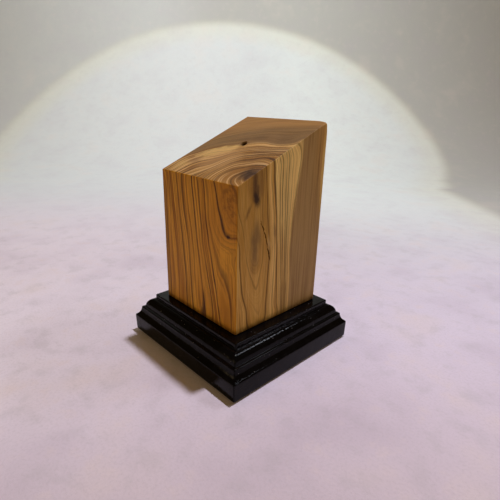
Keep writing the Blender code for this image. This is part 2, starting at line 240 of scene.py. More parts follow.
def block_mesh():
    hx, hy = BLOCK_HX, BLOCK_HY
    edges_x = [s * (hx - e) for e in EDGE_STEPS for s in (-1, 1)]
    edges_y = [s * (hy - e) for e in EDGE_STEPS for s in (-1, 1)]
    fine_x = [KNOT_U - hx + d for d in np.arange(-2.86, 2.87, 0.22)]
    knot_y = -hy + KNOT_V * math.cos(SLOPE)
    fine_y = [knot_y + d for d in np.arange(-2.86, 2.87, 0.22)]
    crack_y = [CRACK_U - hy + c * 0.2 for c in CRACK_COLUMNS]
    X = merged_lines(np.arange(-hx, hx, 0.85), edges_x + fine_x)
    Y = merged_lines(np.arange(-hy, hy, 0.85), edges_y + fine_y + crack_y)
    t_edges = [e / LOW_H for e in EDGE_STEPS] + [1 - e / HIGH_H for e in EDGE_STEPS]
    t_crack = list(np.arange(26.5, 49.5, 0.38) / 69.0)
    T = np.array(merged_lines(np.arange(0, 84, 0.85), [t * 84.0 for t in t_edges + t_crack], gap=0.03)) / 84.0
    T[0], T[-1] = 0.0, 1.0
    nx, ny, nt = len(X), len(Y), len(T)

    index = -np.ones((nx, ny, nt), dtype=int)
    surface = np.zeros((nx, ny, nt), dtype=bool)
    surface[0], surface[-1], surface[:, 0], surface[:, -1], surface[:, :, -1] = (True,) * 5
    ijk = np.argwhere(surface)
    index[surface] = np.arange(len(ijk))
    i, j, k = ijk.T
    x, y, t = X[i], Y[j], T[k]
    height = LOW_H + (y + hy) / (2 * hy) * (HIGH_H - LOW_H)
    p = np.stack([x, y, t * height], axis=1)

    # columns on the +X face bend to follow the crack, and spread to its width
    path_u = np.interp(p[:, 2], [c[1] for c in CRACK_PATH][::-1], [c[0] for c in CRACK_PATH][::-1])
    on_x = i == nx - 1
    zc = p[:, 2]
    reach = np.clip((zc - 18.0) / 8.0, 0, 1) * np.clip((58.0 - zc) / 8.0, 0, 1)
    reach = reach * reach * (3 - 2 * reach)
    du = (y + hy) - CRACK_U
    near = np.clip(1 - (du / 11.0) ** 2, 0, 1) ** 2
    bend = np.where(on_x, (path_u - CRACK_U) * reach * near, 0.0)
    ragged = np.array([noise.noise((0.0, 7.0, z * 1.1)) + 0.5 * noise.noise((3.0, 1.0, z * 3.1)) for z in zc])
    opening = np.clip((zc - 28.2) / 2.0, 0, 1) * np.clip((47.4 - zc) / 3.5, 0, 1)
    opening *= np.clip(0.9 + 1.0 * ragged, 0.12, 1.6)
    opening *= 1.0 - 0.75 * np.exp(-(((zc - 35.0) / 0.9) ** 2)) - 0.8 * np.exp(-(((zc - 42.2) / 0.6) ** 2))
    half_width = 0.06 + 0.24 * np.clip(opening, 0, 1.4)
    column = du / 0.2
    is_crack = on_x & (np.abs(column) < 3.3)
    squeeze = np.where(is_crack, column * half_width - du, 0.0)
    p[:, 1] += bend + squeeze * np.where(np.abs(column) < 2.5, 1.0, 0.6)
    depth = np.where(is_crack & (np.abs(column) < 1.0), 1.3 * np.clip(opening, 0, 1), 0.0)
    raised = np.where(is_crack & (np.abs(column) > 1.0) & (np.abs(column) < 2.0), 0.03 * np.clip(opening, 0, 1), 0.0)

    rings = ring_number(p)
    pace = ring_pace(p, rings)

    # arrises: the block is shrunk by the edge radius and every point pushed back out by it
    nrm = np.array([(1, 0, 0), (-1, 0, 0), (0, 1, 0), (0, -1, 0), (0, 0, -1), (0, -math.sin(SLOPE), math.cos(SLOPE))])
    off = np.array([hx, hx, hy, hy, 0.0, (LOW_H + hy * math.tan(SLOPE)) * math.cos(SLOPE)])
    corner = np.linalg.norm((p - np.array([hx, hy, HIGH_H])) * np.array([1.0, 1.0, 0.8]), axis=1)
    radius = 0.34 + 0.07 * wobble(p, 9.0, 3.3) + 1.0 * np.clip(1 - corner / 4.5, 0, 1) ** 1.5
    q = p.copy()
    steps = np.zeros((len(nrm),) + p.shape)
    for _ in range(14):  # Dykstra's projection on the shrunken solid
        for a in range(len(nrm)):
            before = q + steps[a]
            over = np.clip(before @ nrm[a] - (off[a] - radius), 0, None)
            q = before - over[:, None] * nrm[a]
            steps[a] = before - q
    away = p - q
    length = np.linalg.norm(away, axis=1)
    p = q + away / np.maximum(length, 1e-9)[:, None] * np.minimum(radius, length)[:, None]

    # knot hole in the top: an open, slightly ragged oval on the diagonal
    on_t = k == nt - 1
    along = (p[:, 0] + hx) - KNOT_U
    up = (p[:, 1] + hy) / math.cos(SLOPE) - KNOT_V
    a1, a2 = (along - up) * 0.7071, (along + up) * 0.7071
    angle = np.arctan2(a2, a1)
    rim = 1 + 0.05 * np.sin(3 * angle + 0.6) + 0.05 * np.sin(5 * angle + 2.0)
    r = np.hypot(a1 / 2.05, a2 / 1.45) / rim
    s = np.clip((1.12 - r) / 0.42, 0, 1)
    sink = np.where(on_t, (s * s * (3 - 2 * s)) * (2.2 + 0.2 * np.sin(2 * a1)), 0.0)
    p -= sink[:, None] * nrm[5]
    lip = np.where(on_t, 0.06 * np.exp(-(((r - 1.25) / 0.2) ** 2)), 0.0)
    p += lip[:, None] * nrm[5]

    p[:, 0] += raised - depth
    hollow = np.maximum(np.clip(depth / 0.5, 0, 1), np.clip(sink / 1.2, 0, 1))

    faces = []

    def grid(a):
        q4 = np.stack([a[:-1, :-1], a[1:, :-1], a[1:, 1:], a[:-1, 1:]], axis=-1).reshape(-1, 4)
        faces.extend(q4.tolist())

    grid(index[0].T)                 # -X
    grid(index[-1])                  # +X
    grid(index[:, 0])                # -Y
    grid(index[:, -1].T)             # +Y
    grid(index[:, :, -1])            # top
    p[:, 2] += BLOCK_Z0
    verts = p.tolist()
    attr = {"ring": rings.tolist(), "pace": pace.tolist(), "hollow": hollow.tolist()}

    # underside: outline loop, bore, screw holes, then the drilled bore itself
    def tube(cx, cy, radius_mm, top_z, n, cone):
        levels = [BLOCK_Z0] + list(np.linspace(BLOCK_Z0, top_z, 9)[1:])
        rings_v = []
        for z in levels:
            start = len(verts)
            for m in range(n):
                a = 2 * math.pi * m / n
                verts.append([cx + radius_mm * math.cos(a), cy + radius_mm * math.sin(a), z])
            rings_v.append(list(range(start, start + n)))
        for lo, hi in zip(rings_v, rings_v[1:]):
            for m in range(n):
                faces.append([lo[m], hi[m], hi[(m + 1) % n], lo[(m + 1) % n]])
        tip = len(verts)
        verts.append([cx, cy, top_z + cone])
        for m in range(n):
            faces.append([rings_v[-1][m], tip, rings_v[-1][(m + 1) % n]])
        return rings_v[0]

    loops = [tube(0, 0, BORE_R, BORE_TOP_Z - 1.2, 72, 1.1)]
    for sx in (-1, 1):
        for sy in (-1, 1):
            loops.append(tube(sx * SCREW_XY, sy * SCREW_XY, 2.4, 38.6, 24, 0.8))
    outline = list(index[:, 0, 0]) + list(index[-1, 1:, 0]) + list(index[-2::-1, -1, 0]) + list(index[0, -2:0:-1, 0])
    loops.append([int(v) for v in outline])
    extra = np.array(verts[len(p) :]) - np.array([0, 0, BLOCK_Z0])
    attr["ring"] += ring_number(extra).tolist()
    attr["pace"] += ring_pace(extra, ring_number(extra)).tolist()
    attr["hollow"] += [0.0] * len(extra)
    faces += fill_with_holes(verts, loops)
    return verts, faces, attr


def fill_with_holes(verts, loops):
    """Triangles between an outline and the holes in it, all in one plane z = const, facing down."""
    bm = bmesh.new()
    new = {}
    edges = []
    for loop in loops:
        for v in loop:
            new[v] = bm.verts.new(verts[v])
        for a, b in zip(loop, loop[1:] + loop[:1]):
            edges.append(bm.edges.new((new[a], new[b])))
    bm.verts.index_update()
    back = {bv: v for v, bv in new.items()}
    bmesh.ops.triangle_fill(bm, use_beauty=True, use_dissolve=False, edges=edges, normal=(0, 0, -1))
    out = []
    for f in bm.faces:
        f.normal_update()
        tri = [back[v] for v in f.verts]
        out.append(tri if f.normal.z < 0 else tri[::-1])
    bm.free()
    return out


# =====================================================================================
# Node helpers
# =====================================================================================
class Graph:
    """Short names for building a node material."""

    def __init__(self, name):
        self.mat = bpy.data.materials.new(name)
        self.mat.use_nodes = True
        self.tree = self.mat.node_tree
        self.nodes = self.tree.nodes
        self.bsdf = self.nodes["Principled BSDF"]
        self.coord = self.nodes.new("ShaderNodeTexCoord")
        self.mm = self.vec("MULTIPLY", self.coord.outputs["Object"], (1000.0, 1000.0, 1000.0))
        parts = self.nodes.new("ShaderNodeSeparateXYZ")
        self.link(self.mm, parts.inputs[0])
        self.x, self.y, self.z = parts.outputs

    def link(self, a, b):
        self.tree.links.new(a, b)

    def put(self, value, socket):
        if isinstance(value, bpy.types.NodeSocket):
            self.link(value, socket)
        else:
            socket.default_value = value

    def math(self, op, a, b=None, c=None, clamp=False):
        n = self.nodes.new("ShaderNodeMath")
        n.operation = op
        n.use_clamp = clamp
        for value, socket in zip((a, b, c), n.inputs):
            if value is not None:
                self.put(value, socket)
        return n.outputs[0]

    def vec(self, op, a, b=None):
        n = self.nodes.new("ShaderNodeVectorMath")
        n.operation = op
        self.put(a, n.inputs[0])
        if b is not None:
            self.put(b, n.inputs[1])
        return n.outputs["Value"] if op in ("LENGTH", "DOT_PRODUCT", "DISTANCE") else n.outputs["Vector"]

    def xyz(self, a, b, c):
        n = self.nodes.new("ShaderNodeCombineXYZ")
        for value, socket in zip((a, b, c), n.inputs):
            self.put(value, socket)
        return n.outputs[0]

    def ramp(self, value, low, high, to_low=0.0, to_high=1.0, kind="SMOOTHSTEP"):
        n = self.nodes.new("ShaderNodeMapRange")
        n.interpolation_type = kind
        for v, key in ((value, "Value"), (low, "From Min"), (high, "From Max"), (to_low, "To Min"), (to_high, "To Max")):
            self.put(v, n.inputs[key])
        return n.outputs["Result"]

    def noise(self, vector, scale=1.0, detail=2.0, rough=0.5, distortion=0.0, dims="3D"):
        n = self.nodes.new("ShaderNodeTexNoise")
        n.noise_dimensions = dims
        self.link(vector, n.inputs["Vector"])
        n.inputs["Scale"].default_value = scale
        n.inputs["Detail"].default_value = detail
        n.inputs["Roughness"].default_value = rough
        n.inputs["Distortion"].default_value = distortion
        return n.outputs["Fac"]

    def mix(self, fac, a, b, blend="MIX"):
        n = self.nodes.new("ShaderNodeMix")
        n.data_type = "RGBA"
        n.blend_type = blend
        n.clamp_factor = True
        self.put(fac, n.inputs["Factor"])
        self.put(a, n.inputs["A"] if False else n.inputs[6])
        self.put(b, n.inputs[7])
        return n.outputs[2]

    def attribute(self, name):
        n = self.nodes.new("ShaderNodeAttribute")
        n.attribute_type = "GEOMETRY"
        n.attribute_name = name
        return n.outputs["Fac"]

    def blob(self, centre, radii, turn=(0, 0, 0), inner=0.4, outer=1.0, warp=None):
        """1 inside an ellipsoid and 0 outside it."""
        p = self.mm if warp is None else self.vec("ADD", self.mm, warp)
        p = self.vec("SUBTRACT", p, centre)
        rot = self.nodes.new("ShaderNodeVectorRotate")
        rot.rotation_type = "EULER_XYZ"
        rot.invert = True
        self.link(p, rot.inputs["Vector"])
        rot.inputs["Rotation"].default_value = [math.radians(a) for a in turn]
        p = self.vec("DIVIDE", rot.outputs[0], radii)
        return self.ramp(self.vec("LENGTH", p), inner, outer, 1.0, 0.0)

    def stir(self, scale, reach):
        """A smooth random offset, for ragged edges on blobs."""
        n = self.nodes.new("ShaderNodeTexNoise")
        self.link(self.vec("MULTIPLY", self.mm, (1.0, 1.0, 0.45)), n.inputs["Vector"])
        n.inputs["Scale"].default_value = scale
        n.inputs["Detail"].default_value = 3.0
        return self.vec("MULTIPLY", self.vec("SUBTRACT", n.outputs["Color"], (0.5, 0.5, 0.5)), reach)

    def wide_stir(self):
        if not hasattr(self, "_wide"):
            self._wide = self.stir(0.30, (4.5, 4.5, 7.0))
        return self._wide

    def small_stir(self):
        if not hasattr(self, "_small"):
            self._small = self.stir(0.8, (1.4, 1.4, 2.4))
        return self._small

    def bump(self, height, strength, distance, normal=None):
        n = self.nodes.new("ShaderNodeBump")
        self.put(height, n.inputs["Height"])
        n.inputs["Strength"].default_value = strength
        n.inputs["Distance"].default_value = distance
        if normal is not None:
            self.link(normal, n.inputs["Normal"])
        return n.outputs["Normal"]


# ---- olive wood ------------------------------------------------------------------------
# Dark growth lines: ring number, half width in mm, strength.
GROWTH_LINES = [
    (0.85, 0.40, 0.22), (1.50, 0.50, 0.50), (2.30, 0.30, 0.22), (3.00, 0.60, 0.88),
    (3.45, 0.30, 0.18), (3.85, 0.35, 0.20), (4.40, 0.55, 0.50), (5.00, 0.66, 0.90), (5.45, 0.30, 0.40),
    (5.80, 0.28, 0.30), (6.25, 0.60, 0.78), (6.70, 0.30, 0.35), (7.20, 0.64, 0.90), (7.65, 0.28, 0.30),
    (8.15, 0.36, 0.38), (8.60, 0.24, 0.28), (9.00, 0.80, 0.72), (9.55, 0.30, 0.40), (10.30, 0.66, 0.82),
    (10.75, 0.28, 0.35), (11.15, 0.34, 0.42), (11.55, 0.24, 0.30), (12.00, 0.50, 0.50), (12.90, 0.28, 0.24),
    (13.80, 0.45, 0.50),
]


def olive_wood():
    g = Graph("olive_wood")
    z = g.math("SUBTRACT", g.z, BLOCK_Z0)
    pace = g.math("MAXIMUM", g.attribute("pace"), 0.06)
    # the rings wander by a fraction of a millimetre along the grain
    slow = g.noise(g.vec("MULTIPLY", g.mm, (1.0, 1.0, 0.16)), 0.13, 2.0, 0.5)
    quick = g.noise(g.vec("MULTIPLY", g.mm, (1.0, 1.0, 0.14)), 0.9, 2.0, 0.6)
    shift = g.math("ADD", g.math("MULTIPLY", g.math("SUBTRACT", slow, 0.5), 1.0), g.math("MULTIPLY", g.math("SUBTRACT", quick, 0.5), 0.42))
    ring = g.math("ADD", g.attribute("ring"), g.math("MULTIPLY", shift, pace))
    spread = g.math("MULTIPLY", g.math("ADD", g.x, g.y), 0.02)

    def strip(per_ring, detail, along=0.012, seed=0.0):
        v = g.xyz(g.math("MULTIPLY", ring, per_ring), g.math("MULTIPLY", g.z, along), g.math("ADD", spread, seed))
        return g.noise(v, 1.0, detail, 0.55)

    band = strip(0.8, 1.0)                    # broad light and dark bands
    fine = strip(3.1, 2.0, 0.02, 4.0)         # narrower bands within them
    hair = strip(11.0, 2.0, 0.035, 9.0)       # hair-fine streaks
    cloud = g.noise(g.vec("MULTIPLY", g.mm, (1.0, 1.0, 0.35)), 0.09, 3.0, 0.55)

    parts = g.nodes.new("ShaderNodeSeparateXYZ")
    g.link(g.coord.outputs["Normal"], parts.inputs[0])
    top = g.ramp(parts.outputs[2], 0.45, 0.75)
    side = g.ramp(parts.outputs[0], 0.6, 0.9)
    grain = g.noise(g.vec("MULTIPLY", g.mm, (1.1, 1.1, 0.035)), 0.62, 3.0, 0.6)     # straight grain
    streak = g.noise(g.vec("MULTIPLY", g.mm, (1.0, 1.0, 0.03)), 2.3, 2.0, 0.55)

    heart = g.ramp(g.math("ADD", ring, g.math("MULTIPLY", g.math("SUBTRACT", fine, 0.5), 0.8)), 13.65, 14.3)
    calm = g.ramp(ring, 2.0, 4.2, 0.25, 1.0)  # fainter bands about the pith and where rings are far apart
    calm = g.math("MULTIPLY", calm, g.ramp(g.attribute("pace"), 0.05, 0.2, 0.35, 1.0))
    light = g.mix(g.math("MULTIPLY", g.ramp(band, 0.34, 0.66), calm), srgb(194, 142, 62), srgb(222, 176, 98))
    light = g.mix(g.math("MULTIPLY", g.ramp(fine, 0.49, 0.64, 0.0, 0.72), calm), light, srgb(140, 92, 34))
    light = g.mix(g.math("MULTIPLY", g.ramp(hair, 0.50, 0.70, 0.0, 0.45), calm), light, srgb(120, 78, 28))
    light = g.mix(g.math("MULTIPLY", g.ramp(hair, 0.28, 0.45, 0.42, 0.0), calm), light, srgb(240, 204, 126))
    light = g.mix(g.ramp(streak, 0.52, 0.68, 0.0, 0.26), light, srgb(128, 86, 36))
    light = g.mix(g.ramp(streak, 0.34, 0.46, 0.22, 0.0), light, srgb(236, 194, 118))
    light = g.mix(g.ramp(cloud, 0.48, 0.68, 0.0, 0.26), light, srgb(172, 118, 50))
    arcs = g.mix(top, grain, fine)
    dark = g.mix(g.ramp(arcs, 0.40, 0.66), srgb(160, 125, 72), srgb(138, 103, 56))
    dark = g.mix(g.math("MULTIPLY", top, g.ramp(band, 0.40, 0.65, 0.0, 0.45)), dark, srgb(112, 82, 50))
    dark = g.mix(g.ramp(g.mix(top, streak, hair), 0.52, 0.78, 0.0, 0.34), dark, srgb(96, 66, 36))
    dark = g.mix(g.ramp(cloud, 0.45, 0.66, 0.0, 0.40), dark, srgb(162, 124, 74))
    # the end grain on the top is darker, with its rings more sharply drawn
    rings = strip(2.4, 1.5, 0.0, 17.0)
    light = g.mix(g.math("MULTIPLY", top, g.ramp(rings, 0.52, 0.58, 0.0, 0.62)), light, srgb(136, 92, 46))
    light = g.mix(g.math("MULTIPLY", top, g.ramp(rings, 0.38, 0.46, 0.85, 0.0)), light, srgb(252, 214, 150))
    light = g.mix(top, light, srgb(232, 224, 216), "MULTIPLY")
    dark = g.mix(top, dark, srgb(236, 232, 224), "MULTIPLY")
    # on the right-hand face the wood is duller about the pith and paler towards the sapwood
    dull = g.math("MULTIPLY", side, g.ramp(ring, 2.6, 4.6, 1.0, 0.0))
    light = g.mix(g.math("MULTIPLY", dull, g.ramp(z, 20.0, 44.0, 0.35, 0.75)), light, srgb(220, 217, 190), "MULTIPLY")
    sap = g.math("MULTIPLY", side, g.ramp(ring, 4.7, 5.3))
    sap = g.math("MULTIPLY", sap, g.ramp(z, 24.0, 52.0, 0.25, 1.0))
    light = g.mix(g.math("MULTIPLY", sap, g.ramp(hair, 0.36, 0.60, 0.88, 0.42)), light, srgb(244, 208, 128))
    colour = g.mix(heart, light, dark)

    # the pale sapwood pockets against the heartwood, and the orange cast towards the high edge
    pocket = g.math("MULTIPLY", g.ramp(ring, 11.4, 12.1), g.ramp(ring, 13.5, 13.85, 1.0, 0.0))
    side_pocket = g.math("MULTIPLY", pocket, g.blob((25, 7.2, 90.5), (6, 6, 30), inner=0.35, outer=1.1))
    side_pocket = g.math("MAXIMUM", side_pocket, g.math("MULTIPLY", g.math("MULTIPLY", side, g.ramp(ring, 12.6, 12.9)), g.ramp(ring, 13.5, 13.85, 0.6, 0.0)))
    top_pocket = g.blob((-9.5, -6.8, 90.5), (12.5, 4.6, 7), (0, 0, 36), 0.55, 1.0, g.wide_stir())
    tip_pocket = g.blob((-3.6, -1.6, 93.0), (3.6, 2.0, 4), (0, 0, 36), 0.4, 1.1, g.small_stir())
    low_pocket = g.blob((-19.5, -19.5, 85.0), (4.5, 5.5, 6), (0, 0, 0), 0.3, 1.2, g.wide_stir())
    above = g.math("MAXIMUM", g.math("MAXIMUM", top_pocket, tip_pocket), g.math("MULTIPLY", low_pocket, 0.6))
    pale = g.math("MAXIMUM", side_pocket, g.math("MULTIPLY", above, g.math("SUBTRACT", 1.0, heart)))
    colour = g.mix(g.math("MULTIPLY", pale, 0.78), colour, g.mix(g.ramp(hair, 0.35, 0.7), srgb(238, 200, 122), srgb(206, 162, 90)))
    tan = g.math("MULTIPLY", g.ramp(ring, 17.5, 21.5), g.ramp(z, 38.0, 76.0))
    colour = g.mix(g.math("MULTIPLY", tan, g.ramp(arcs, 0.3, 0.7, 0.75, 0.45)), colour, srgb(182, 132, 66))

    between = g.blob((-13.8, -15.9, 86.8), (4.2, 3.2, 4.0), (0, 0, 30), 0.1, 1.1, g.small_stir())
    colour = g.mix(g.math("MULTIPLY", between, g.math("MULTIPLY", top, 0.6)), colour, srgb(146, 104, 60))

    # the growth lines themselves
    lines = None
    thin = g.math("ADD", 1.0, g.math("ADD", g.math("MULTIPLY", side, 0.45), g.math("MULTIPLY", top, 0.55)))
    thin = g.math("DIVIDE", thin, pace)
    for centre, half, strength in GROWTH_LINES:
        off = g.math("MULTIPLY", g.math("ABSOLUTE", g.math("SUBTRACT", ring, centre)), thin)
        one = g.ramp(off, half * 0.25, half * 1.15, strength, 0.0)
        lines = one if lines is None else g.math("MAXIMUM", lines, one)
    patchy = g.noise(g.vec("MULTIPLY", g.mm, (1.0, 1.0, 0.3)), 0.16, 2.0, 0.6)
    patchy = g.ramp(patchy, 0.32, 0.56, 0.55, 1.0)
    lines = g.math("MULTIPLY", lines, g.math("MAXIMUM", patchy, g.math("MULTIPLY", top, 0.9)))
    lines = g.math("MULTIPLY", lines, g.ramp(g.attribute("pace"), 0.035, 0.10, 0.2, 1.0))
    lines = g.math("MULTIPLY", lines, g.math("SUBTRACT", 1.0, g.math("MULTIPLY", side, 0.18)))
    lines = g.math("MULTIPLY", lines, g.math("SUBTRACT", 1.0, g.math("MULTIPLY", g.blob((24.0, -26, 62.0), (4.2, 3, 2.6), inner=0.6, outer=1.0), 0.72)))
    colour = g.mix(lines, colour, srgb(62, 35, 6))
    # one line widens into a dark streak near the foot of the front
    foot = g.blob((3.5, -26.0, 21.0), (2.1, 2.5, 16.5), (0, 4, 0), 0.15, 1.05, g.small_stir())
    colour = g.mix(g.math("MULTIPLY", foot, 0.88), colour, srgb(58, 30, 14))
    # and one runs nearly black from the top arris beside the pith
    run = g.math("DIVIDE", g.math("ABSOLUTE", g.math("SUBTRACT", ring, 4.85)), pace)
    run = g.math("MULTIPLY", g.ramp(run, 0.12, 0.6, 1.0, 0.0), g.blob((25, -5.6, 84), (5, 5, 19), inner=0.5, outer=1.1))
    colour = g.mix(g.math("MULTIPLY", run, 0.72), colour, srgb(66, 38, 14))

    # pith stain, the lens below it, a smudge beside the crack, the tight knot in the front
    stirred = g.wide_stir()
    small = g.small_stir()
    halo = g.blob((25, -15.4, 84.0), (4.0, 5.2, 13.0), (0, 0, 0), 0.35, 1.1, stirred)
    colour = g.mix(g.math("MULTIPLY", halo, 0.50), colour, srgb(100, 68, 34))
    lens = g.blob((25, -15.7, 58.0), (3.0, 3.3, 14.5), (0, 0, 0), 0.2, 1.1, stirred)
    colour = g.mix(g.math("MULTIPLY", lens, 0.68), colour, srgb(96, 72, 42))
    tail = g.blob((25, -20.0, 72.0), (2.0, 1.2, 4.5), (-28, 0, 0), 0.1, 1.1, small)
    colour = g.mix(g.math("MULTIPLY", tail, 0.55), colour, srgb(80, 50, 22))
    pith_top = g.blob((22.4, -17.8, 86.0), (6.2, 6.8, 6.0), (0, 0, 0), 0.0, 1.1, stirred)
    colour = g.mix(g.math("MULTIPLY", pith_top, g.math("MULTIPLY", top, 0.95)), colour, srgb(58, 32, 14))
    pith = g.blob((25, -15.9, 76.7), (3.0, 2.3, 4.4), (14, 0, 0), 0.25, 1.1, small)
    pith_up = g.blob((25, -16.6, 83.2), (3.0, 2.0, 7.5), (4, 0, 0), 0.2, 1.15, stirred)
    colour = g.mix(g.math("MULTIPLY", pith_up, 0.72), colour, srgb(66, 40, 20))
    colour = g.mix(g.math("MULTIPLY", pith, 0.92), colour, srgb(44, 24, 10))
    smudge = g.blob((25, -4.6, 61.5), (2.0, 1.1, 4.5), (8, 0, 0), 0.15, 1.1, small)
    colour = g.mix(g.math("MULTIPLY", smudge, 0.45), colour, srgb(92, 60, 30))
    bright = g.blob((25, -7.9, 57.3), (2.0, 1.2, 4.6), (6, 0, 0), 0.2, 1.1, small)
    colour = g.mix(g.math("MULTIPLY", bright, 0.50), colour, srgb(206, 166, 104))
    smear = g.blob((23.4, -25.8, 62.4), (3.4, 2.0, 0.6), (0, -6, 0), 0.1, 1.1, small)
    colour = g.mix(g.math("MULTIPLY", smear, 0.45), colour, srgb(104, 64, 14))
    knot = g.blob((20.2, -25.8, 62.1), (1.5, 2.0, 0.75), (0, 0, 0), 0.3, 1.1, small)
    colour = g.mix(g.math("MULTIPLY", knot, 0.88), colour, srgb(44, 22, 8))
    around_hole = g.blob((-1.6, 1.4, 94.3), (3.6, 3.4, 4.0), (0, 0, 0), 0.35, 1.1, small)
    colour = g.mix(g.math("MULTIPLY", around_hole, 0.45), colour, srgb(112, 76, 44))

    # a sliver of sapwood along the far edge of the side, with a dark streak beside it
    sliver = g.math("MULTIPLY", g.math("SUBTRACT", 1.0, top), g.blob((25.0, 24.9, 84.0), (3.8, 1.7, 25.0), (0, 0, 0), 0.3, 1.1, small))
    sliver = g.math("MULTIPLY", sliver, g.ramp(grain, 0.40, 0.56, 0.55, 0.95))
    colour = g.mix(g.math("MULTIPLY", sliver, 0.85), colour, srgb(206, 166, 88))
    beside = g.math("MULTIPLY", side, g.blob((25.0, 21.6, 86.0), (3.0, 1.0, 17.0), (0, 0, 0), 0.2, 1.1, small))
    colour = g.mix(g.math("MULTIPLY", beside, 0.40), colour, srgb(92, 64, 28))

    # a brown streak runs down inside the pale band
    inside = g.math("MULTIPLY", side, g.blob((25.0, 6.9, 71.0), (3.0, 0.85, 14.5), (-7, 0, 0), 0.15, 1.15, small))
    colour = g.mix(g.math("MULTIPLY", inside, 0.55), colour, srgb(116, 78, 26))

    # on the end grain the wood is duller close to the pith and paler further out
    close_in = g.math("MULTIPLY", top, g.blob((17.5, -15.5, 88.0), (11.5, 13.0, 14.0), (0, 0, 0), 0.35, 1.15, stirred))
    colour = g.mix(g.math("MULTIPLY", close_in, 0.85), colour, srgb(222, 216, 210), "MULTIPLY")
    further = g.math("MULTIPLY", top, g.blob((-1.0, -12.5, 90.0), (10.5, 12.0, 14.0), (0, 0, -20), 0.45, 1.15, stirred))
    colour = g.mix(g.math("MULTIPLY", further, 0.36), colour, srgb(214, 168, 108))

    # pores: short dark dashes along the grain, specks on the end grain
    pores = g.noise(g.vec("MULTIPLY", g.mm, (3.4, 3.4, 0.34)), 1.0, 2.0, 0.6)
    pore = g.ramp(pores, 0.62, 0.72)
    colour = g.mix(g.math("MULTIPLY", pore, 0.22), colour, srgb(84, 54, 24))
    rays = g.noise(g.vec("MULTIPLY", g.mm, (1.2, 1.2, 4.2)), 1.0, 2.0, 0.5)
    colour = g.mix(g.ramp(rays, 0.60, 0.75, 0.0, 0.12), colour, srgb(214, 172, 108))

    # painted shade: the whole front face is tinted a deeper, more saturated honey colour than the other faces, for the
    # look the same wood has on the shaded front
    small_patch = g.noise(g.mm, 0.42, 3.0, 0.6)
    front = g.ramp(g.y, -BLOCK_HY + 0.15, -BLOCK_HY + 0.7, 1.0, 0.0)
    colour = g.mix(front, colour, srgb(255, 232, 116), "MULTIPLY")
    # darker orange patches on the front: one at its top right, and one at its left streaked along the grain
    upper = g.math("MULTIPLY", front, g.blob((20.5, -26, 77), (6.5, 3, 12), (0, -14, 0), 0.3, 1.1, stirred))
    colour = g.mix(g.math("MULTIPLY", upper, g.ramp(small_patch, 0.42, 0.6, 0.15, 0.6)), colour, srgb(112, 72, 10))
    front_left_streaks = g.blob((-20.5, -26, 66), (6.5, 3, 30), (0, 4, 0), 0.3, 1.1, stirred)
    front_left_streaks = g.math("MULTIPLY", g.math("MULTIPLY", front, front_left_streaks), g.ramp(grain, 0.44, 0.60, 0.0, 0.5))
    colour = g.mix(front_left_streaks, colour, srgb(92, 62, 8))
    # painted light: the right-hand face is made about a quarter lighter, standing in for light falling on that side
    colour = g.mix(side, colour, g.vec("MULTIPLY", colour, (1.20, 1.25, 1.30)))
    # darker towards the foot of the block: painted contact shade where it stands on the base, together with varnish
    # build-up
    foot_shade_and_varnish = g.math("MULTIPLY", g.ramp(z, 0.2, 3.0, 1.0, 0.0), g.ramp(small_patch, 0.3, 0.6, 0.35, 0.8))
    colour = g.mix(foot_shade_and_varnish, colour, srgb(74, 50, 12))

    # painted shade: the inside of the crack and of the knot hole is painted near black
    hollow = g.attribute("hollow")
    colour = g.mix(g.math("MULTIPLY", hollow, 0.93), colour, srgb(34, 17, 7))

    g.link(colour, g.bsdf.inputs["Base Color"])
    rough = g.math("ADD", 0.42, g.math("MULTIPLY", fine, 0.18))
    g.link(g.math("ADD", rough, g.math("MULTIPLY", hollow, 0.4)), g.bsdf.inputs["Roughness"])
    g.bsdf.inputs["Specular IOR Level"].default_value = 0.18
    relief = g.math("SUBTRACT", g.math("MULTIPLY", hair, 0.35), g.math("MULTIPLY", pore, 0.8))
    g.link(g.bump(relief, 0.25, 0.00005), g.bsdf.inputs["Normal"])
    return g.mat


# =====================================================================================
# Black moulded base
# =====================================================================================
def eased(points, radii, steps=4):
    """A polyline whose inner corners are rounded off by quadratic curves of the given reach."""
    out = [points[0]]
    for a, b, c, r in zip(points, points[1:], points[2:], radii):
        a, b, c = (np.array(v, dtype=float) for v in (a, b, c))
        la, lc = np.linalg.norm(a - b), np.linalg.norm(c - b)
        start = b + (a - b) / la * min(r, la * 0.45)
        stop = b + (c - b) / lc * min(r, lc * 0.45)
        for s in range(steps + 1):
            t = s / steps
            out.append(tuple((1 - t) ** 2 * start + 2 * t * (1 - t) * b + t * t * stop))
    out.append(points[-1])
    return out


def respaced(points, step):
    """The same polyline with points no further apart than step."""
    out = [tuple(points[0])]
    for a, b in zip(points, points[1:]):
        n = max(1, int(math.ceil(math.dist(a, b) / step)))
        for s in range(1, n + 1):
            out.append(tuple(np.array(a) + (np.array(b) - np.array(a)) * s / n))
    return out


def base_profile():
    top = 30.0
    ovolo = [
        (top + 3.9 * math.cos(math.radians(a)), 13.75 + 4.2 * math.sin(math.radians(a)))
        for a in (4, 14, 25, 36, 47, 58, 69, 80)
    ]
    corners = [(BASE_HALF - 1.8, BASE_Z0), (BASE_HALF - 0.12, BASE_Z0), (BASE_HALF - 0.05, SLAB_TOP - 0.1), (37.4, 9.12), (36.8, 9.55), (36.2, 10.25), (35.75, 11.1),
               (35.42, 12.2), (35.3, 13.42), (34.0, 13.62)]
    radii = [0.2, 0.5, 0.25, 0.35, 0.6, 0.8, 0.8, 0.4, 0.3]
    corners += ovolo + [(top + 0.05, 18.02), (top, BASE_TOP_Z), (top - 3.0, BASE_TOP_Z)]
    radii += [0.4] * len(ovolo) + [0.35, 0.42]
    line = eased(corners, radii)
    return respaced(line, 0.42)


SLAB_TOP = 8.9
UNDERCUT = 0.2


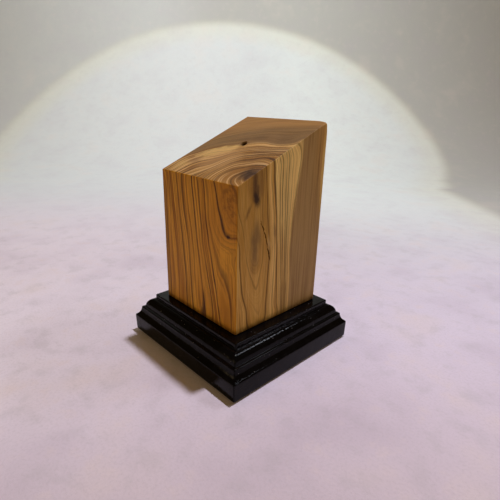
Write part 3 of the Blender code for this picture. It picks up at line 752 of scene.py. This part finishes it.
def base_mesh():
    profile = base_profile()
    inner = [(27.0 - d, BASE_TOP_Z) for d in (0.8, 1.6, 2.4)]
    profile = profile + inner
    per_side = 236
    corner_steps = 5
    rows = []
    verts = []
    for s, z in profile:
        r = 0.45 if s > 30.5 else 0.5
        ring = []
        for sx, sy, a0 in ((1, -1, -90), (1, 1, 0), (-1, 1, 90), (-1, -1, 180)):
            # the side that ends at this corner, then the corner's arc
            cx, cy = sx * (s - r), sy * (s - r)
            arc_pts = [
                (cx + r * math.cos(math.radians(a0 + 90 * m / corner_steps)), cy + r * math.sin(math.radians(a0 + 90 * m / corner_steps)))
                for m in range(corner_steps + 1)
            ]
            ring.append(arc_pts)
        loop = []
        for c in range(4):
            loop += ring[c]
            a, b = ring[c][-1], ring[(c + 1) % 4][0]
            for m in range(1, per_side):
                f = m / per_side
                loop.append((a[0] + (b[0] - a[0]) * f, a[1] + (b[1] - a[1]) * f))
        start = len(verts)
        verts += [(px, py, z) for px, py in loop]
        rows.append(list(range(start, start + len(loop))))
    n = len(rows[0])
    faces = []
    for lo, hi in zip(rows, rows[1:]):
        for m in range(n):
            faces.append([lo[m], lo[(m + 1) % n], hi[(m + 1) % n], hi[m]])

    p = np.array(verts)
    # outward direction in the profile plane, from neighbours along the profile
    prof = np.array(profile)
    tangent = np.gradient(prof, axis=0)
    tangent /= np.maximum(np.linalg.norm(tangent, axis=1), 1e-9)[:, None]
    out2 = np.stack([tangent[:, 1], -tangent[:, 0]], axis=1)
    row_of = np.repeat(np.arange(len(profile)), n)
    dist_x = np.abs(p[:, 0]) >= np.abs(p[:, 1])
    side_dir = np.zeros_like(p)
    side_dir[dist_x, 0] = np.sign(p[dist_x, 0])
    side_dir[~dist_x, 1] = np.sign(p[~dist_x, 1])
    nrm = side_dir * out2[row_of, 0][:, None]
    nrm[:, 2] = out2[row_of, 1]
    # lacquer over wood: slow waves, and fine end-grain ribs on the two end-grain sides
    lift = 0.035 * wobble(p, 7.0, 1.7) + 0.018 * wobble(p, 2.2, 5.1)
    rib = wobble(p * np.array([0.0, 1.0, 0.25]), 0.68, 9.2)
    upper = np.clip((p[:, 2] - 13.8) / 1.0, 0, 1)
    lift += np.where(dist_x, 0.045 * rib * upper, 0.010 * rib)
    # dust nibs caught in the lacquer
    rnd = random.Random(11)
    edge = np.zeros(len(p), dtype=bool)
    edge[row_of < 3] = True
    edge[row_of > len(profile) - 6] = True
    candidates = np.flatnonzero(~edge)
    for _ in range(150):
        lift[candidates[rnd.randrange(len(candidates))]] += rnd.uniform(0.05, 0.13)
    by_corner = (p[:, 0] > 35.0) & (p[:, 1] < -20.0) & (np.abs(p[:, 2] - (SLAB_TOP + 0.25)) < 0.35)
    lip = np.flatnonzero(by_corner)
    for _ in range(60):
        v = lip[rnd.randrange(len(lip))]
        if rnd.random() < np.exp(-(p[v, 1] + BASE_HALF) / 7.0):
            lift[v] += rnd.uniform(0.05, 0.12)
    fade = np.clip(row_of / 3.0, 0, 1)
    p = p + nrm * (lift * fade)[:, None]
    # the front of the slab was sanded in a little towards its foot
    drop = np.clip((SLAB_TOP - 0.6 - p[:, 2]) / (SLAB_TOP - 0.6 - BASE_Z0), 0, 1)
    p[:, 1] += UNDERCUT * drop * np.clip(-p[:, 1] / BASE_HALF, 0, 1) ** 3
    p[:, 0:2] = np.clip(p[:, 0:2], -BASE_HALF, BASE_HALF)
    p[:, 2] = np.minimum(p[:, 2], np.where(np.maximum(abs(p[:, 0]), abs(p[:, 1])) < 26.6, BASE_TOP_Z, 99.0))
    verts = p.tolist()

    def circle(cx, cy, r, z, m_count):
        start = len(verts)
        for m in range(m_count):
            a = 2 * math.pi * m / m_count
            verts.append([cx + r * math.cos(a), cy + r * math.sin(a), z])
        return list(range(start, start + m_count))

    def wall(lo, hi):
        m_count = len(lo)
        for m in range(m_count):
            faces.append([lo[m], hi[m], hi[(m + 1) % m_count], lo[(m + 1) % m_count]])

    under, over = [rows[0]], [rows[-1]]
    # screw holes, counterbored from below
    for sx in (-1, 1):
        for sy in (-1, 1):
            cx, cy = sx * SCREW_XY, sy * SCREW_XY
            loops = [circle(cx, cy, r, z, 24) for r, z in ((4.6, BASE_Z0), (4.6, 6.8), (2.4, 9.25), (2.4, BASE_TOP_Z))]
            for lo, hi in zip(loops, loops[1:]):
                wall(lo, hi)
            under.append(loops[0])
            over.append(loops[-1])
    # recess, fingernail notch and bore
    notch_y, notch_r = -(RECESS_R + 0.5), 5.0
    d = -notch_y
    ya = (RECESS_R**2 - notch_r**2 + d * d) / (2 * d)
    xa = math.sqrt(RECESS_R**2 - ya * ya)
    a_start = math.atan2(-ya, xa)
    a_stop = math.atan2(-ya, -xa) + 2 * math.pi
    keyhole = []
    for m in range(81):
        a = a_start + (a_stop - a_start) * m / 80
        keyhole.append((RECESS_R * math.cos(a), RECESS_R * math.sin(a)))
    b_start = math.atan2(-ya - notch_y, -xa)
    b_stop = math.atan2(-ya - notch_y, xa) + 2 * math.pi
    for m in range(1, 24):
        a = b_start + (b_stop - b_start) * m / 24
        keyhole.append((notch_r * math.cos(a), notch_y + notch_r * math.sin(a)))
    levels = []
    for z, grow in ((BASE_Z0, 0.25), (BASE_Z0 + 0.25, 0.0), (RECESS_TOP - 0.2, 0.0), (RECESS_TOP, -0.15)):
        start = len(verts)
        for px, py in keyhole:
            r = math.hypot(px, py)
            verts.append([px * (1 + grow / r), py * (1 + grow / r), z])
        levels.append(list(range(start, start + len(keyhole))))
    for lo, hi in zip(levels, levels[1:]):
        wall(lo, hi)
    under.append(levels[0])
    bore = [circle(0, 0, r, z, 72) for r, z in ((BORE_R + 0.3, RECESS_TOP), (BORE_R, RECESS_TOP + 0.3), (BORE_R, BASE_TOP_Z))]
    for lo, hi in zip(bore, bore[1:]):
        wall(lo, hi)
    over.append(bore[-1])
    faces += fill_with_holes(verts, under)
    faces += fill_with_holes(verts, [levels[-1], bore[0]])
    faces += [f[::-1] for f in fill_with_holes(verts, over)]
    return verts, faces


def black_lacquer():
    g = Graph("black_lacquer")
    peel = g.noise(g.mm, 1.1, 2.0, 0.5)
    pull = g.noise(g.vec("MULTIPLY", g.mm, (0.4, 0.4, 2.2)), 0.7, 2.0, 0.5)
    wear = g.noise(g.mm, 0.16, 4.0, 0.65)
    tone = g.mix(g.ramp(wear, 0.35, 0.7), srgb(4, 3, 4), srgb(10, 9, 10))
    # dust: tiny pale specks on the gloss
    specks = g.nodes.new("ShaderNodeTexVoronoi")
    specks.feature = "F1"
    g.link(g.mm, specks.inputs["Vector"])
    specks.inputs["Scale"].default_value = 0.70
    chance = g.nodes.new("ShaderNodeSeparateColor")
    g.link(specks.outputs["Color"], chance.inputs[0])
    dot = g.math("MULTIPLY", g.ramp(specks.outputs["Distance"], 0.07, 0.13, 1.0, 0.0), g.math("GREATER_THAN", chance.outputs[0], 0.76))
    g.link(g.mix(g.math("MULTIPLY", dot, 0.6), tone, srgb(150, 148, 146)), g.bsdf.inputs["Base Color"])
    g.link(g.math("ADD", g.ramp(wear, 0.3, 0.8, 0.06, 0.17), g.math("MULTIPLY", dot, 0.5)), g.bsdf.inputs["Roughness"])
    height = g.math("ADD", g.math("MULTIPLY", peel, 0.5), g.math("MULTIPLY", pull, 0.5))
    height = g.math("ADD", height, g.math("MULTIPLY", dot, 0.8))
    g.link(g.bump(height, 0.35, 0.0001), g.bsdf.inputs["Normal"])
    g.bsdf.inputs["Specular IOR Level"].default_value = 0.10
    return g.mat


# =====================================================================================
# Felt, stopper, parchment, screws
# =====================================================================================
def felt_mesh():
    half = felt_high[0] / MM
    z0, z1 = felt_low[2] / MM, felt_high[2] / MM
    hole_r, n = 15.0, 400
    verts, faces = [], []

    def square_point(a, s, r):
        """Point on a rounded square, at the polar angle a."""
        c, d = math.cos(a), math.sin(a)
        m = max(abs(c), abs(d))
        x, y = s * c / m, s * d / m
        ox, oy = max(abs(x) - (s - r), 0), max(abs(y) - (s - r), 0)
        if ox > 0 and oy > 0:
            k = r / math.hypot(ox, oy) if math.hypot(ox, oy) > r else 1.0
            x = math.copysign(s - r + ox * k, x)
            y = math.copysign(s - r + oy * k, y)
        return x, y

    def ring(f, z, inset):
        start = len(verts)
        for m in range(n):
            a = 2 * math.pi * (m + 0.5) / n
            ox, oy = square_point(a, half - inset, 1.5)
            ix, iy = (hole_r + inset) * math.cos(a), (hole_r + inset) * math.sin(a)
            verts.append([ix + (ox - ix) * f, iy + (oy - iy) * f, z])
        return list(range(start, start + n))

    top = z1
    stations = [(0.0, z0 + 0.12, 0.0), (0.0, top - 0.12, 0.0), (0.0, top, 0.1)]
    for f in np.linspace(0.04, 0.96, 40):
        stations.append((f, top, 0.1))
    stations += [(1.0, top, 0.1), (1.0, top - 0.12, 0.0), (1.0, z0 + 0.12, 0.0), (1.0, z0, 0.1)]
    for f in np.linspace(0.96, 0.04, 40):
        stations.append((f, z0, 0.1))
    stations.append((0.0, z0, 0.1))
    rows = [ring(*s) for s in stations]
    rows.append(rows[0])
    for a, b in zip(rows, rows[1:]):
        for m in range(n):
            faces.append([a[m], a[(m + 1) % n], b[(m + 1) % n], b[m]])
    p = np.array(verts)
    fuzz = 0.045 * wobble(p, 0.9, 4.4)
    edge = (np.abs(np.maximum(abs(p[:, 0]), abs(p[:, 1])) - half) < 0.2) | (np.abs(np.hypot(p[:, 0], p[:, 1]) - hole_r) < 0.2)
    p[:, 0:2] *= (1 - np.where(edge, np.abs(fuzz) / 30.0, 0.0))[:, None]
    low = p[:, 2] < z0 + 0.05
    p[low, 2] += np.abs(fuzz[low])
    return p.tolist(), faces


def turned_mesh(profile, n=96, z_offset=0.0):
    """A turned piece: (radius, z) points; a radius of 0 closes an end in a point."""
    verts, faces, rows = [], [], []
    for r, z in profile:
        if r <= 1e-6:
            verts.append([0.0, 0.0, z + z_offset])
            rows.append([len(verts) - 1])
            continue
        start = len(verts)
        for m in range(n):
            a = 2 * math.pi * m / n
            verts.append([r * math.cos(a), r * math.sin(a), z + z_offset])
        rows.append(list(range(start, start + n)))
    for lo, hi in zip(rows, rows[1:]):
        for m in range(n):
            k = (m + 1) % n
            if len(lo) == 1:
                faces.append([lo[0], hi[k], hi[m]])
            elif len(hi) == 1:
                faces.append([lo[m], lo[k], hi[0]])
            else:
                faces.append([lo[m], lo[k], hi[k], hi[m]])
    return verts, faces


def stopper_mesh():
    z0, z1 = stop_low[2] / MM, stop_high[2] / MM
    seat = RECESS_TOP - 0.15
    corners = [(0, z0 + 10.5), (3.3, z0 + 10.5), (4.0, z0 + 9.8), (4.3, z0 + 0.7), (4.9, z0 + 0.05), (5.4, z0),
               (9.4, z0), (9.8, z0 + 0.35), (10.3, z0 + 0.35), (10.7, z0), (11.9, z0), (12.5, z0 + 0.6), (12.5, seat - 0.2), (12.3, seat), (7.4, seat)]
    radii = [0.4, 0.4, 0.3, 0.3, 0.3, 0.15, 0.12, 0.12, 0.15, 0.4, 0.3, 0.15, 0.1, 0.25]
    for rib in (8.0, 12.4):
        corners += [(7.4, rib - 0.9), (7.85, rib - 0.35), (7.85, rib + 0.05), (7.4, rib + 1.1)]
        radii += [0.2, 0.25, 0.2, 0.3]
    corners += [(7.4, z1 - 0.9), (6.5, z1), (0, z1)]
    radii += [0.3, 0.3]
    return turned_mesh(eased(corners, radii[: len(corners) - 2], 3), 96)


def scroll_mesh():
    z0, z1 = scroll_low[2] / MM, scroll_high[2] / MM
    thick, pitch, r0, width = 0.35, 0.85, 2.6, 60.0
    pts, length, angle = [], 0.0, 0.0
    step = math.radians(3.5)
    coarse = math.radians(14)
    total, a = 0.0, 0.0
    while total < width:
        total += (r0 + pitch * a / (2 * math.pi)) * coarse
        a += coarse
    end = a - coarse
    count = int(round(end / step))
    for s in range(count + 1):
        pts.append(end * s / count)
    heights = np.concatenate([[z0], np.linspace(z0 + 0.1, z1 - 0.1, 61), [z1]])
    verts, faces = [], []
    index = {}
    for ai, a in enumerate(pts):
        for hi, z in enumerate(heights):
            r = r0 + pitch * a / (2 * math.pi)
            relax = 0.10 * noise.noise((math.cos(a) * 0.7, math.sin(a) * 0.7, z * 0.05))
            ease = min(1.0, (z - z0) / 4.0, (z1 - z) / 4.0)
            r += relax * ease
            t = thick / 2 * (0.8 if hi in (0, len(heights) - 1) else 1.0)
            for side in (0, 1):
                rr = r + (t if side else -t)
                index[ai, hi, side] = len(verts)
                verts.append([rr * math.cos(a), rr * math.sin(a), z])
    na, nh = len(pts), len(heights)
    for ai in range(na - 1):
        for hi in range(nh - 1):
            faces.append([index[ai, hi, 1], index[ai + 1, hi, 1], index[ai + 1, hi + 1, 1], index[ai, hi + 1, 1]])
            faces.append([index[ai, hi, 0], index[ai, hi + 1, 0], index[ai + 1, hi + 1, 0], index[ai + 1, hi, 0]])
        faces.append([index[ai, 0, 0], index[ai + 1, 0, 0], index[ai + 1, 0, 1], index[ai, 0, 1]])
        h = nh - 1
        faces.append([index[ai, h, 0], index[ai, h, 1], index[ai + 1, h, 1], index[ai + 1, h, 0]])
    for hi in range(nh - 1):
        faces.append([index[0, hi, 0], index[0, hi, 1], index[0, hi + 1, 1], index[0, hi + 1, 0]])
        e = na - 1
        faces.append([index[e, hi, 0], index[e, hi + 1, 0], index[e, hi + 1, 1], index[e, hi, 1]])
    return verts, faces


def baize():
    g = Graph("black_baize")
    fibre = g.noise(g.vec("MULTIPLY", g.mm, (1.0, 1.0, 1.0)), 3.2, 4.0, 0.7, 1.2)
    nap = g.noise(g.mm, 0.25, 3.0, 0.6)
    c = g.mix(g.ramp(fibre, 0.35, 0.7), srgb(12, 12, 13), srgb(34, 34, 37))
    c = g.mix(g.ramp(nap, 0.4, 0.7, 0.0, 0.35), c, srgb(44, 44, 47))
    g.link(c, g.bsdf.inputs["Base Color"])
    g.bsdf.inputs["Roughness"].default_value = 0.95
    g.bsdf.inputs["Sheen Weight"].default_value = 0.12
    g.bsdf.inputs["Sheen Roughness"].default_value = 0.5
    g.link(g.bump(fibre, 0.8, 0.0002), g.bsdf.inputs["Normal"])
    return g.mat


def moulded_rubber():
    g = Graph("black_rubber")
    bloom = g.noise(g.mm, 0.3, 4.0, 0.6)
    grit = g.noise(g.mm, 5.0, 2.0, 0.6)
    c = g.mix(g.ramp(bloom, 0.35, 0.75), srgb(30, 30, 31), srgb(52, 51, 50))
    g.link(c, g.bsdf.inputs["Base Color"])
    g.link(g.ramp(bloom, 0.3, 0.8, 0.48, 0.68), g.bsdf.inputs["Roughness"])
    g.link(g.bump(grit, 0.35, 0.00006), g.bsdf.inputs["Normal"])
    return g.mat


def parchment():
    g = Graph("parchment")
    cloud = g.noise(g.mm, 0.09, 4.0, 0.6)
    fibre = g.noise(g.vec("MULTIPLY", g.mm, (1.0, 1.0, 0.5)), 1.6, 4.0, 0.65)
    hair = g.noise(g.vec("MULTIPLY", g.mm, (2.0, 2.0, 0.4)), 2.2, 2.0, 0.5)
    c = g.mix(g.ramp(cloud, 0.35, 0.7), srgb(232, 216, 180), srgb(212, 188, 142))
    c = g.mix(g.ramp(fibre, 0.5, 0.75, 0.0, 0.35), c, srgb(190, 162, 116))
    c = g.mix(g.ramp(hair, 0.66, 0.72, 0.0, 0.4), c, srgb(150, 122, 84))
    g.link(c, g.bsdf.inputs["Base Color"])
    g.bsdf.inputs["Roughness"].default_value = 0.6
    g.bsdf.inputs["Subsurface Weight"].default_value = 0.08
    g.bsdf.inputs["Subsurface Scale"].default_value = 0.001
    g.link(g.bump(fibre, 0.4, 0.00008), g.bsdf.inputs["Normal"])
    return g.mat


def zinc_plate():
    g = Graph("zinc_plate")
    cloud = g.noise(g.mm, 0.7, 3.0, 0.6)
    scratch = g.noise(g.vec("MULTIPLY", g.mm, (6.0, 6.0, 0.5)), 1.0, 2.0, 0.6)
    c = g.mix(g.ramp(cloud, 0.35, 0.7), srgb(214, 196, 140), srgb(186, 186, 176))
    g.link(c, g.bsdf.inputs["Base Color"])
    g.bsdf.inputs["Metallic"].default_value = 1.0
    g.link(g.ramp(scratch, 0.3, 0.7, 0.24, 0.42), g.bsdf.inputs["Roughness"])
    g.link(g.bump(scratch, 0.2, 0.00003), g.bsdf.inputs["Normal"])
    return g.mat


# =====================================================================================
# Assembly
# =====================================================================================
def add(name, mesh, material, node, body, smooth_angle=None):
    verts, faces = mesh[0], mesh[1]
    attrs = mesh[2] if len(mesh) > 2 else None
    obj = mesh_object(name, verts, faces, smooth_angle, attrs)
    obj.data.materials.append(material)
    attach(obj, body)
    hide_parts(node)
    return obj


block = add("olive_block", block_mesh(), olive_wood(), "case_block", "case", 50)
base = add("moulded_base", base_mesh(), black_lacquer(), "base_plinth", "case", 40)
felt = add("baize_pad", felt_mesh(), baize(), "felt_pad", "case", 60)
stopper = add("rubber_stopper", stopper_mesh(), moulded_rubber(), "chamber_stopper", "stopper", 40)
scroll = add("rolled_parchment", scroll_mesh(), parchment(), "parchment_scroll", "scroll", 50)
steel = zinc_plate()
for number in range(1, 5):
    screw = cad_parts[f"base_screw_{number}"]
    for s in screw.material_slots:
        s.material = steel

# =====================================================================================
# Stage: a pale sweep, soft light, camera
# =====================================================================================
def sweep():
    """Floor that curves up into a backdrop, square to the camera's view."""
    run = [(-1200, 0), (-300, 0)] + [(v, 0) for v in range(-200, 401, 50)]
    for a in range(6, 91, 6):
        run.append((420 + 380 * math.sin(math.radians(a)), 380 - 380 * math.cos(math.radians(a))))
    run.append((800, 1600))
    az = math.radians(46.0)
    forward = np.array([-math.sin(az), math.cos(az)])
    across = np.array([math.cos(az), math.sin(az)])
    verts, faces = [], []
    cols = np.linspace(-1600, 1600, 17)
    for d, z in run:
        for c in cols:
            xy = forward * d + across * c
            verts.append([xy[0], xy[1], z])
    w = len(cols)
    for i in range(len(run) - 1):
        for j in range(w - 1):
            faces.append([i * w + j, i * w + j + 1, (i + 1) * w + j + 1, (i + 1) * w + j])
    obj = mesh_object("pale_sweep", verts, faces)
    g = Graph("pale_sweep")
    depth = g.vec("DOT_PRODUCT", g.mm, (float(forward[0]), float(forward[1]), 0.0))
    c = g.mix(g.ramp(depth, -120.0, 420.0), srgb(240, 228, 247), srgb(228, 235, 235))
    # painted shade: the floor is darker and warmer near the camera
    c = g.mix(g.ramp(depth, -220.0, 20.0, 0.9, 0.0), c, srgb(208, 189, 184))
    # a pool of light on the backdrop, an oval measured along its curve
    sideways = g.vec("DOT_PRODUCT", g.mm, (float(across[0]), float(across[1]), 0.0))
    climb = g.math("DIVIDE", g.math("MINIMUM", g.math("MAXIMUM", g.z, 0.0), 700.0), 380.0)
    climb = g.math("MULTIPLY", g.math("ARCCOSINE", g.math("SUBTRACT", 1.0, climb)), 380.0)
    oval = g.xyz(g.math("DIVIDE", g.math("ADD", sideways, 60.0), 405.0), g.math("DIVIDE", g.math("SUBTRACT", climb, 170.0), 312.0), 0.0)
    pool = g.vec("LENGTH", oval)
    # painted light: paler towards the left, less so on the backdrop
    painted_light_left = g.math("MULTIPLY", g.ramp(sideways, -160.0, 50.0, 1.0, 0.0), g.ramp(depth, 40.0, 330.0, 1.0, 0.05))
    painted_light_left = g.math("MULTIPLY", painted_light_left, g.ramp(depth, -110.0, -30.0, 0.10, 1.0))
    c = g.mix(painted_light_left, c, srgb(255, 246, 255))
    # painted light: paler towards the right of the backdrop
    painted_light_right = g.math("MULTIPLY", g.ramp(sideways, -30.0, 130.0), g.ramp(depth, 60.0, 330.0, 0.0, 0.8))
    c = g.mix(painted_light_right, c, srgb(242, 252, 249))
    # painted shade outside the pool, less of it to the left, and a painted rim of pale yellow light round the pool
    shade = g.math("MULTIPLY", g.ramp(pool, 0.96, 1.02, 0.0, 0.72), g.ramp(sideways, -230.0, -60.0, 0.60, 1.0))
    c = g.mix(shade, c, srgb(176, 174, 163))
    rim = g.math("MULTIPLY", g.ramp(pool, 0.84, 0.97), g.ramp(pool, 0.98, 1.04, 1.0, 0.0))
    c = g.mix(g.math("MULTIPLY", rim, 0.36), c, srgb(236, 236, 208))
    soft = g.noise(g.mm, 0.020, 2.5, 0.55)
    cloudy = g.ramp(depth, 60.0, 300.0, 1.0, 0.40)
    c = g.mix(g.math("MULTIPLY", cloudy, g.ramp(soft, 0.44, 0.74, 0.0, 0.30)), c, srgb(200, 186, 202))
    c = g.mix(g.math("MULTIPLY", cloudy, g.ramp(soft, 0.26, 0.48, 0.36, 0.0)), c, srgb(244, 228, 218))
    patchy = g.noise(g.mm, 0.085, 3.0, 0.6)
    c = g.mix(g.math("MULTIPLY", cloudy, g.ramp(patchy, 0.48, 0.72, 0.0, 0.22)), c, srgb(192, 188, 190))
    c = g.mix(g.math("MULTIPLY", cloudy, g.ramp(patchy, 0.28, 0.46, 0.22, 0.0)), c, srgb(246, 228, 222))
    tooth = g.noise(g.mm, 0.9, 3.0, 0.6)
    c = g.mix(g.ramp(tooth, 0.42, 0.75, 0.0, 0.18), c, srgb(188, 178, 184))
    g.link(c, g.bsdf.inputs["Base Color"])
    g.bsdf.inputs["Roughness"].default_value = 0.85
    g.link(g.bump(tooth, 0.3, 0.0004), g.bsdf.inputs["Normal"])
    obj.data.materials.append(g.mat)


def area_light(name, position, target, size, power, colour):
    data = bpy.data.lights.new(name, "AREA")
    data.shape = "RECTANGLE"
    data.size, data.size_y = size
    data.energy = power
    data.color = colour
    obj = bpy.data.objects.new(name, data)
    bpy.context.scene.collection.objects.link(obj)
    position = Vector(position)
    obj.location = position
    obj.rotation_euler = (Vector(target) - position).to_track_quat("-Z", "Y").to_euler()
    return obj


def camera():
    """Placed by azimuth, elevation and roll about the case."""
    az, el, roll = math.radians(46.0014), math.radians(20.0869), math.radians(1.4701)
    back = Vector((math.sin(az) * math.cos(el), -math.cos(az) * math.cos(el), math.sin(el)))
    right = Vector((math.cos(az), math.sin(az), 0.0))
    up = back.cross(right)
    right_r = right * math.cos(roll) + up * math.sin(roll)
    up_r = -right * math.sin(roll) + up * math.cos(roll)
    place = Vector((0, 0, 0.025)) + 0.025 * (back * 7.9787 + right_r * 0.1785 + up_r * 0.7576)
    data = bpy.data.cameras.new("camera")
    data.sensor_width = 36.0
    data.lens = 404.757 * 36.0 / 500.0
    data.clip_start = 0.01
    data.clip_end = 20.0
    obj = bpy.data.objects.new("camera", data)
    m = Matrix((right_r, up_r, back)).transposed().to_4x4()
    m.translation = place
    obj.matrix_world = m
    bpy.context.scene.collection.objects.link(obj)
    bpy.context.scene.camera = obj


sweep()
camera()
area_light("overhead_key", (0.058, 0.172, 0.86), (0, 0, 0.03), (0.034, 0.034), 4.0, (0.92, 0.88, 0.98))
area_light("window", (0.235, 0.40, 0.56), (0, 0, 0.03), (0.20, 0.05), 0.70, (0.84, 0.88, 1.0))
area_light("side_fill", (0.75, -0.02, 0.30), (0, 0, 0.05), (0.5, 0.4), 0.32, (1.0, 0.90, 0.64)).data.use_shadow = False
area_light("warm_fill", (-0.30, -0.80, 0.10), (0, 0, 0.06), (0.4, 0.25), 0.82, (1.0, 0.74, 0.42))
area_light("backdrop_wash", (-0.30, 0.13, 0.62), (-0.95, 0.55, 0.36), (0.4, 0.4), 2.2, (0.94, 1.0, 1.0))

world = bpy.data.worlds.new("studio")
world.use_nodes = True
world.node_tree.nodes["Background"].inputs["Color"].default_value = (1.0, 0.62, 0.20, 1.0)
world.node_tree.nodes["Background"].inputs["Strength"].default_value = 0.13
bpy.context.scene.world = world
bpy.context.scene.view_settings.view_transform = "Standard"
